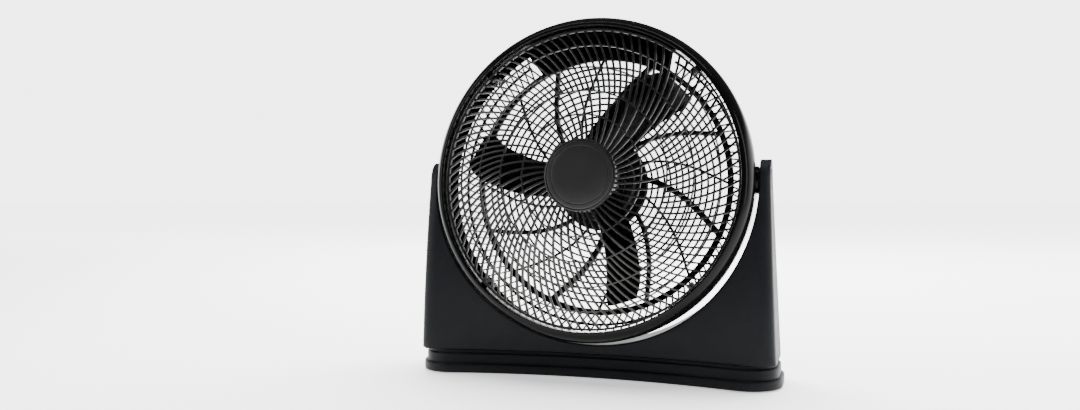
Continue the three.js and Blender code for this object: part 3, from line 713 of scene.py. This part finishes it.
def arm(r0, r1, degrees, half, depth, sweep, steps=8):
    path = []
    for k in range(steps + 1):
        t = k / steps
        r = r0 + (r1 - r0) * t
        path.append((r, degrees + sweep * (1 - t) ** 1.2, rear_face(r)))
    return bar(path, rounded([(-half, -depth), (half, -depth), (half, depth), (-half, depth)], half * 0.6))


def rear_ring(radius, width=3.0, depth=3.4):
    face = rear_face(radius)
    return lathe([(radius - width / 2, face - depth), (radius + width / 2, face - depth),
                  (radius + width / 2, face), (radius - width / 2, face)], 144, 0.5)


FLANK_STEP, FLANK_COUNT, FLANK_FIRST = 3, 98, 124.5  # the last few bars would lie under the handle
flank_bar = bar([(200.5 + 28 * t, -3.4 * t, -42 + 29.8 * t) for t in (0, 0.33, 0.67, 1)],
                [(-1.1, -1.7), (1.1, -1.7), (1.1, 1.7), (-1.1, 1.7)])
flank_ring = bar([(215.5, 122 + 296 * k / 96, -25.5) for k in range(97)],
                 [(-1.9, -1.5), (-0.8, -2.1), (0.8, -2.1), (1.9, -1.5), (1.9, 1.5), (0.8, 2.1), (-0.8, 2.1),
                  (-1.9, 1.5)])
ear = shifted(lathe([(2.3, -13.6), (5.4, -13.6), (5.4, -10.35), (2.3, -10.35)], 32, 0.5), x=REAR_SCREW_R)
rear_parts = [
    lathe([(62.6, -52), (72, -52), (72, -46), (62.6, -46)], 128, 1.2),
    lathe([(193, -45), (202, -45), (202, -37), (193, -37)], 192, 2.2),
    lathe([(227, -13.6), (234, -13.6), (234, -10.35), (227, -10.35)], 224, 0.8),
    spun_shape("ears", ear, 4, 45, REAR_BLACK),
    flank_ring,
    *[rear_ring(78 + 9.5 * k) for k in range(12)],
    spun_shape("wide arms", arm(71.2, 195, 0, 4.6, 5.6, 28), 4, 67.5, REAR_BLACK),
    spun_shape("arms", arm(71.2, 195, 0, 3.3, 5.6, 28), 4, 22.5, REAR_BLACK),
    spun_shape("struts", arm(71.2, 195, 0, 1.8, 2.8, 28), 8, 0, REAR_BLACK),
    spun_shape("flank bars", flank_bar, FLANK_COUNT, FLANK_FIRST, REAR_BLACK, FLANK_STEP * FLANK_COUNT),
]
rear_guard = make("rear_guard", merge(*rear_parts), REAR_BLACK, "head", "rear_grille", crease=40)
print("rear guard faces:", len(rear_guard.data.polygons))

# %% [markdown]
# ## The carrying handle
# At the top of the back a sloping panel replaces the short bars, and a grip stands behind it on two
# posts, with room for fingers between. All of it is bent round the fan axis, so each piece is one
# section swept along an arc.

# %% Carrying handle
def arc_bar(r_mid, f_mid, half_angle, half_r, half_f, roll, steps=32):
    """A rounded bar bent round the top of the head."""
    path = [(r_mid, 90 - half_angle + 2 * half_angle * k / steps, f_mid) for k in range(steps + 1)]
    corners = [(-half_r, -half_f), (half_r, -half_f), (half_r, half_f), (-half_r, half_f)]
    return bar(path, rounded(corners, roll))


def handle_panel(steps=48):
    """A sloping plate that closes the basket's flank under the handle."""
    section = rounded([(16.4, -19.35), (8.9, -19.35), (-13.5, 12.2), (-17.5, 12.2), (-17.5, 16.1),
                       (-12.6, 16.1), (10.3, -15.35), (16.4, -15.35)], 0.8)
    return bar([(212.9, 60 + 60 * k / steps, -30) for k in range(steps + 1)], section)


def handle_post(side):
    """Reaches forwards from the grip to the panel, wider at its foot."""
    degrees = 90 + side * 21.2
    centre = head_point(217 * mm, math.radians(degrees), 0)
    outline = rounded([(4.6, -7), (-4.6, -7), (-4.6, 7), (4.6, 7)], 2.5)
    outward = Vector((math.cos(math.radians(degrees)), 0, math.sin(math.radians(degrees))))
    sideways = Vector((outward.z, 0, -outward.x))
    levels = [(-24, 1.3), (-34, 1.1), (-52, 1.0), (-71, 1.0)]
    points = [centre + (outward * p.x + sideways * p.y * grow) * mm + Vector((0, -f, 0)) * mm
              for f, grow in levels for p in outline]
    return skin(points, len(levels), len(outline))


handle = make(
    "handle", merge(handle_panel(), arc_bar(217, -73, 24, 5, 5, 3.2),
                    handle_post(-1), handle_post(1)),
    GLOSS_BLACK, "head", "carry_handle", crease=40)
print("handle faces:", len(handle.data.polygons))

# %% [markdown]
# ## Blades
# Each blade is a sheet laid on a helix. It narrows towards the hub, twists flatter towards the tip,
# and its edges are rounded over. The skin is made of two sheets that meet in a thin rounded edge.

# %% Blades
BLADE_ROOT, BLADE_TIP, BLADE_ANGLES = 43.0, 188, (63.5, 183.5, 303.5)


def blade_shape(first_degrees, out_steps=22, chord_steps=16):
    def point(out, chord, side):
        r = BLADE_ROOT + (BLADE_TIP - BLADE_ROOT) * out
        corner = math.sqrt(max(0.0, 1 - 0.42 * max(0.0, (out - 0.76) / 0.24) ** 2.6))
        along = chord * (54 + 13 * out) * corner
        pitch = math.radians(43 - 12 * out)
        centre = math.radians(first_degrees - 17 * (r - 50) / 138)
        camber = 3.2 * (1 - (2 * chord) ** 2) * (0.4 + 0.6 * out)
        edge = math.sqrt(max(0.0, 1 - (2 * abs(chord)) ** 10)) * math.sqrt(max(0.0, 1 - out ** 40))
        depth = 28 + along * math.tan(pitch) - camber + 1.2 * side * edge / math.cos(pitch)
        return head_point(r * mm, centre + along / r, depth * mm)

    rows = [k / out_steps for k in range(out_steps + 1)]
    chords = [-0.5 * math.cos(math.pi * k / chord_steps) for k in range(chord_steps + 1)]
    loop = [(c, 1) for c in chords] + [(c, -1) for c in chords[-2:0:-1]]
    return skin([point(out, chord, side) for out in rows for chord, side in loop], len(rows), len(loop))


rotor_hub = lathe([(4.4, 12), (10, 12), (10, 55), (42, 55), (42, 1), (45, 1), (45, 54), (42.5, 57.6),
                   (38, 58.2), (4.4, 58.2)], 128, 0.7)
blades = make("blade_set", merge(rotor_hub, *[blade_shape(a) for a in BLADE_ANGLES]),
              BLADE_BLACK, "rotor", "fan_blades", crease=45)
nut = make("spinner_nut", lathe([(0, 69.5), (6, 69), (10.6, 64.6), (11, 58.4), (4.4, 58.4), (4.4, 66.4),
                                 (0, 66.4)], 64, 0.8), BLADE_BLACK, "rotor", "blade_nut")
print("blade faces:", len(blades.data.polygons))

# %% [markdown]
# ## Motor
# The motor sits behind the blades in two cups. The front cup has two rings of round cooling holes
# near its edge, through which the wound wire shows. A tapered cover closes the motor from behind.

# %% Motor
def perforate(piece, radius, hole, count, front, rear):
    """Cuts a ring of round holes through a turned wall."""
    pin = shifted(lathe([(0, rear), (hole, rear), (hole, front), (0, front)], 12, 0), x=radius)
    cut_away([piece], spun("cutter", pin, count, 0, HOUSING_BLACK), "holes")


front_cup = add_mesh("motor_front_cup", *lathe(
    [(9.6, -4), (52, -4), (58, -9), (58, -27), (56, -27), (56, -10), (51.2, -6), (12, -6), (12, -11),
     (9.6, -11)], 128, 1.0))
face_outwards(front_cup)
perforate(front_cup, 46.5, 1.9, 36, -2, -8)
perforate(front_cup, 40.5, 1.9, 32, -2, -8)
front_cup.data.transform(HEAD)
settle(front_cup, HOUSING_BLACK, "head", "motor_front_housing", crease=30)
rear_cup = make("motor_rear_cup", lathe(
    [(56, -27.35), (58, -27.35), (58, -41), (52, -46), (9.6, -46), (9.6, -39.5), (12, -39.5), (12, -44),
     (51.2, -44), (56, -40)], 128, 1.0), HOUSING_BLACK, "head", "motor_rear_housing")


def cover_rings():
    """Shallow ridges that stiffen the flank of the rear cover."""
    rings = ((65.3, -62.5), (62.6, -68), (60, -73.4))
    return [lathe([(r - 0.8, d - 1.6), (r + 1, d - 1.6), (r + 1, d + 1.6), (r - 0.8, d + 1.6)], 128, 0.6)
            for r, d in rings]


rear_cover = make("motor_back_cover", merge(
    lathe([(71, -52.4), (66, -62), (58, -78), (50, -84), (7, -84), (7, -82), (49, -82), (56, -77),
           (63.8, -62), (68.5, -52.4)], 144, 1.6), *cover_rings()),
    HOUSING_BLACK, "head", "motor_rear_cover")
print("front cup faces:", len(front_cup.data.polygons))

# %% [markdown]
# ## The speed knob
# A turned cap with small half-round flutes for grip and a raised dot that points to the setting. It
# rides on its own body, so that it turns apart from the head.

# %% Speed knob
def knob_shape():
    body = lathe([(0, -97), (15.3, -97), (17.4, -95), (18, -84.6), (15.5, -84.6), (15, -92), (6, -92),
                  (6, -87), (3.4, -87), (3.4, -92.5), (0, -92.5)], 96, 0.7)
    flute = shifted(lathe([(0, -95.6), (0.9, -95.6), (0.9, -85.6), (0, -85.6)], 10, 0.3), x=17.5)
    flutes = spun_shape("flutes", flute, 24, 0, HOUSING_BLACK)
    pointer = shifted(lathe([(0, -99), (1.5, -99), (1.5, -95), (0, -95)], 12, 0.4), z=12.4)
    return merge(body, flutes, pointer)


knob = make("knob", knob_shape(), HOUSING_BLACK, "knob", "speed_knob")
print("knob faces:", len(knob.data.polygons))

# %% [markdown]
# ## The base
# In plan the base is a long bar with bowed front and rear edges and round corners. The foot is three
# such outlines stacked as steps, each a little smaller than the one below.

# %% Plan outline and foot
SHIFT_Y = pivot.y / mm - 5.5
PIVOT_Y, PIVOT_Z = 5.5, pivot.z / mm
BOW_SPAN = 250
FOOT = {"half": 275.5, "front": -55.5, "front_bow": 34, "rear": 90, "rear_bow": 24, "corner": 50}
BODY = {"half": 268.6, "front": -43.5, "front_bow": 32, "rear": 78, "rear_bow": 21, "corner": 17}


def plan_edge(plan, inset, front, straight=16, round_steps=10):
    """The right half of the front or rear edge, from the middle out to the side wall."""
    facing = -1 if front else 1
    end = plan["front"] + inset if front else plan["rear"] - inset
    bow = plan["front_bow"] if front else plan["rear_bow"]
    half, corner = plan["half"] - inset, plan["corner"] - inset
    lean = lambda x: math.atan(2 * bow * x / BOW_SPAN ** 2)
    edge = lambda x: end - facing * bow * (1 - (x / BOW_SPAN) ** 2)
    reach = half - corner
    for _ in range(6):
        reach = half - corner * (1 + math.sin(lean(reach)))
    path = [(reach * k / straight, edge(reach * k / straight)) for k in range(straight + 1)]
    centre = (reach + corner * math.sin(lean(reach)), edge(reach) - facing * corner * math.cos(lean(reach)))
    for k in range(1, round_steps + 1):
        turn = (math.pi / 2 + lean(reach)) * (1 - k / round_steps)
        path.append((centre[0] + corner * math.cos(turn), centre[1] + facing * corner * math.sin(turn)))
    return path


def plan_outline(plan, inset):
    right = plan_edge(plan, inset, True) + plan_edge(plan, inset, False)[::-1]
    return right + [(-x, y) for x, y in right[1:-1][::-1]]


def stacked(plan, levels):
    """Outlines at several heights joined into one closed skin. A level is (height, inset)."""
    points = [Vector((x, y + SHIFT_Y, height)) * mm for height, inset in levels
              for x, y in plan_outline(plan, inset)]
    return skin(points, len(levels), len(points) // len(levels))


STEPS = [(1.5, 1.2), (2.6, 0.25), (4, 0), (12.6, 0), (14.4, 0.5), (15.5, 1.5), (16, 3.2), (16, 4.3),
         (16.6, 4.5), (28, 4.5), (29.6, 4.9), (30.6, 5.9), (31, 7.4), (31, 8.8), (31.6, 9), (34.6, 9),
         (35.4, 9.4), (35.6, 10.2)]
foot = make("foot", stacked(FOOT, STEPS), BLACK_BODY, "base", "foot_plinth", WORLD, crease=40)
print("foot faces:", len(foot.data.polygons))

# %% [markdown]
# The body is one moulding with a U cut out for the head. It is built as a row of sections along the
# U, from the top of one upright, down round the bottom and up to the top of the other. Each section
# is a closed loop: out along the front face, over the side, and back along the rear face.

# %% Base body
U_R, TOP_HALF, UPRIGHT_R, BODY_BOTTOM = 244.6, 259.4, 29.5, 36.0
FRONT_EDGE, REAR_EDGE = plan_edge(BODY, 0, True, 40, 14), plan_edge(BODY, 0, False, 40, 14)


def drop(z):
    return max(0.0, (PIVOT_Z - z) / (PIVOT_Z - BODY_BOTTOM))


def face_y(x, z, front):
    """Where the body's front or rear face is, at a place across and a height."""
    edge = FRONT_EDGE if front else REAR_EDGE
    plan_x = min(abs(x) / half_width(z) * BODY["half"], BODY["half"])
    for (x0, y0), (x1, y1) in zip(edge, edge[1:]):
        if plan_x <= x1:
            break
    y = y0 + (y1 - y0) * (plan_x - x0) / (x1 - x0)
    fraction = (y - BODY["front"]) / (BODY["rear"] - BODY["front"])
    foremost, rearmost = PIVOT_Y - UPRIGHT_R, PIVOT_Y + UPRIGHT_R
    foremost += (BODY["front"] - foremost) * (1 - (1 - drop(z)) ** 2)
    rearmost += (BODY["rear"] - rearmost) * drop(z)
    y = foremost + fraction * (rearmost - foremost)
    above = max(0.0, z - PIVOT_Z)
    if above:
        y = PIVOT_Y + (y - PIVOT_Y) * math.sqrt(max(0.0, 1 - (above / UPRIGHT_R) ** 2))
    return y


def half_width(z):
    return TOP_HALF + (BODY["half"] - TOP_HALF) * drop(z)


def section_ends():
    """Pairs of places (x, z): on the U, and straight out from it on the outside."""
    ends = []
    for k in range(17):
        z = PIVOT_Z + UPRIGHT_R * math.cos(math.pi / 2 * k / 16)
        ends.append(((U_R, z), (half_width(z), z)))
    low = math.atan2(PIVOT_Z - BODY_BOTTOM, BODY["half"])
    angles = [low * k / 34 for k in range(1, 35)]
    angles += [low + (math.pi / 2 - low) * k / 40 for k in range(1, 41)]
    for angle in angles:
        out = (math.cos(angle), -math.sin(angle))
        if angle <= low:
            length = TOP_HALF
            for _ in range(8):
                length = half_width(PIVOT_Z + out[1] * length) / out[0]
        else:
            length = (BODY_BOTTOM - PIVOT_Z) / out[1]
        ends.append(((U_R * out[0], PIVOT_Z + U_R * out[1]), (length * out[0], PIVOT_Z + length * out[1])))
    return ends + [((-a[0], a[1]), (-b[0], b[1])) for a, b in ends[-2::-1]]


def body_section(inside, outside, edge=2.6):
    """One closed loop of points round the body, with its inner edges rounded over."""
    spread = [0.0, 0.03, 0.1, 0.2, 0.32, 0.45, 0.58, 0.7, 0.8, 0.88, 0.93, 0.96, 0.98, 0.991, 0.998, 1.0]
    length = math.dist(inside, outside)
    softened = [(0.0, 1.0), (0.08, 0.62), (0.29, 0.29), (0.62, 0.08), (1.0, 0.0)]

    def side(front):
        facing = 1 if front else -1
        row = []
        y0, y1 = face_y(*inside, True), face_y(*inside, False)
        small = min(edge, 0.4 * (y1 - y0), 0.3 * length)
        for out, back_off in softened[:-1]:
            t = out * small / length
            place = (inside[0] + (outside[0] - inside[0]) * t, inside[1] + (outside[1] - inside[1]) * t)
            row.append((place[0], face_y(*place, front) + facing * small * back_off, place[1]))
        for s in spread:
            t = small / length + (1 - small / length) * s
            place = (inside[0] + (outside[0] - inside[0]) * t, inside[1] + (outside[1] - inside[1]) * t)
            row.append((place[0], face_y(*place, front), place[1]))
        return row

    front, rear = side(True), side(False)
    wall = [tuple(a + (b - a) * k / 9 for a, b in zip(rear[0], front[0])) for k in range(1, 9)]
    outer = [tuple(a + (b - a) * k / 9 for a, b in zip(front[-1], rear[-1])) for k in range(1, 9)]
    return front + outer + rear[::-1] + wall


def body_shape():
    loops = [body_section(a, b) for a, b in section_ends()]
    points = [Vector((x, y + SHIFT_Y, z)) * mm for loop in loops for x, y, z in loop]
    return skin(points, len(loops), len(loops[0]))


body = add_mesh("yoke_body", *body_shape())
merged = bmesh.new()
merged.from_mesh(body.data)
bmesh.ops.remove_doubles(merged, verts=merged.verts, dist=0.00002)
bmesh.ops.dissolve_degenerate(merged, edges=merged.edges, dist=0.00001)
merged.to_mesh(body.data)
merged.free()
face_outwards(body)
print("body faces:", len(body.data.polygons))

# %% [markdown]
# A panel closes the back of the base. It stands half a millimetre proud, so its edge reads as a fine
# line, and each of its four screws sits at the bottom of a round pocket.

# %% Rear panel
def rear_panel_shape(columns=120, rows=18, proud=0.5):
    half, floor_z, top_z, clear = 247.65, 36.35, 149.65, U_R + 3.35
    points = []
    for side_out in (True, False):
        for k in range(columns + 1):
            x = half * math.sin(math.pi / 2 * (2 * k / columns - 1))
            limit = top_z
            if abs(x) < clear:
                limit = min(top_z, PIVOT_Z - math.sqrt(clear * clear - x * x))
            for j in range(rows + 1):
                z = floor_z + (limit - floor_z) * j / rows
                y = face_y(x, z, False) + (proud if side_out else -2.5)
                points.append(Vector((x, y + SHIFT_Y, z)) * mm)
    faces, row, sheet = [], rows + 1, (columns + 1) * (rows + 1)
    for k in range(columns):
        for j in range(rows):
            a = k * row + j
            faces += [(a, a + 1, a + row + 1, a + row), (sheet + a, sheet + a + row, sheet + a + row + 1,
                                                         sheet + a + 1)]
    rim = [k * row for k in range(columns)] + [columns * row + j for j in range(rows)]
    rim += [k * row + rows for k in range(columns, 0, -1)] + [j for j in range(rows, 0, -1)]
    faces += [(a, b, sheet + b, sheet + a) for a, b in zip(rim, rim[1:] + rim[:1])]
    return points, faces


def cut_pockets(pieces):
    """Round pockets over the four rear screws, cut through the panel and into the body."""
    holes = []
    for number in range(1, 5):
        low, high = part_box(f"rear_cover_screw_{number}")
        x, z = (low.x + high.x) / 2 / mm, (low.z + high.z) / 2 / mm
        head = high.y / mm
        holes.append(shifted(lathe([(0, -30), (4.6, -30), (4.6, 3), (0, 3)], 32, 0), x=x, y=head, z=z))
    cut_away(pieces, add_mesh("pocket_cutter", *merge(*holes)), "pockets")


rear_panel = add_mesh("rear_panel", *rear_panel_shape())
face_outwards(rear_panel)
cut_pockets([rear_panel, body])
settle(rear_panel, BLACK_BODY, "base", "base_rear_cover", crease=40)
settle(body, BLACK_BODY, "base", "base_body", crease=40)
print("rear panel faces:", len(rear_panel.data.polygons))

# %% [markdown]
# ## Caps and rubber feet
# A flush disc closes each upright's bore from outside. Four rubber pads lift the foot off the floor.
# All are turned shapes, laid along another axis than the fan's.

# %% Caps over the pivots, and feet
def pivot_cap(side):
    disc = lathe([(0, 0), (16.6, 0), (16.6, 2.5), (14.4, 2.7), (13.6, 2.3), (0, 2.3)], 80, 0.5)
    return shifted(turned_to(disc, (side, 0, 0)), x=side * 257.3, y=PIVOT_Y + SHIFT_Y, z=PIVOT_Z)


for word, side in SIDES:
    cap = make(f"cap_{word}", pivot_cap(side), BLACK_BODY, "base", f"pivot_cap_{word}", WORLD)


def rubber_pad(node):
    low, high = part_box(node)
    x, y = (low.x + high.x) / 2 / mm, (low.y + high.y) / 2 / mm
    pad = lathe([(0, 0), (7, 0), (7.5, 0.5), (8, 0), (10.4, 0), (11, 0.8), (11, 4.2), (0, 4.2)], 48, 0.25)
    return shifted(turned_to(pad, (0, 0, 1)), x=x, y=y)


for number in range(1, 5):
    node = f"rubber_foot_{number}"
    pad = make(f"pad_{number}", rubber_pad(node), RUBBER, "base", node, WORLD)
print("pad faces:", len(pad.data.polygons))

# %% [markdown]
# ## Parts kept as they were modelled
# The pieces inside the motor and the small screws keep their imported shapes. Each gets the finish of
# the stuff it would be made of.

# %% Finishes for the kept nodes
KEPT = {
    "steel": STEEL, "bronze": BRONZE, "core_steel": LAMINATIONS, "winding": WINDING, "nylon": NYLON,
    "rubber": RUBBER, "base_plastic": BLACK_BODY, "drum_plastic": GLOSS_BLACK,
    "grille_plastic": GRILLE_GREY, "blade_plastic": BLADE_BLACK, "housing_plastic": HOUSING_BLACK,
}
slots = {part["node"]: part["material_slot"] for part in frame["record"]["subparts"]}
kept = [name for name, node in frame["nodes"].items() if not node.hide_render]
for name in kept:
    node = frame["nodes"][name]
    node.data.materials.clear()
    node.data.materials.append(KEPT[slots[name]])
print("kept nodes:", len(kept))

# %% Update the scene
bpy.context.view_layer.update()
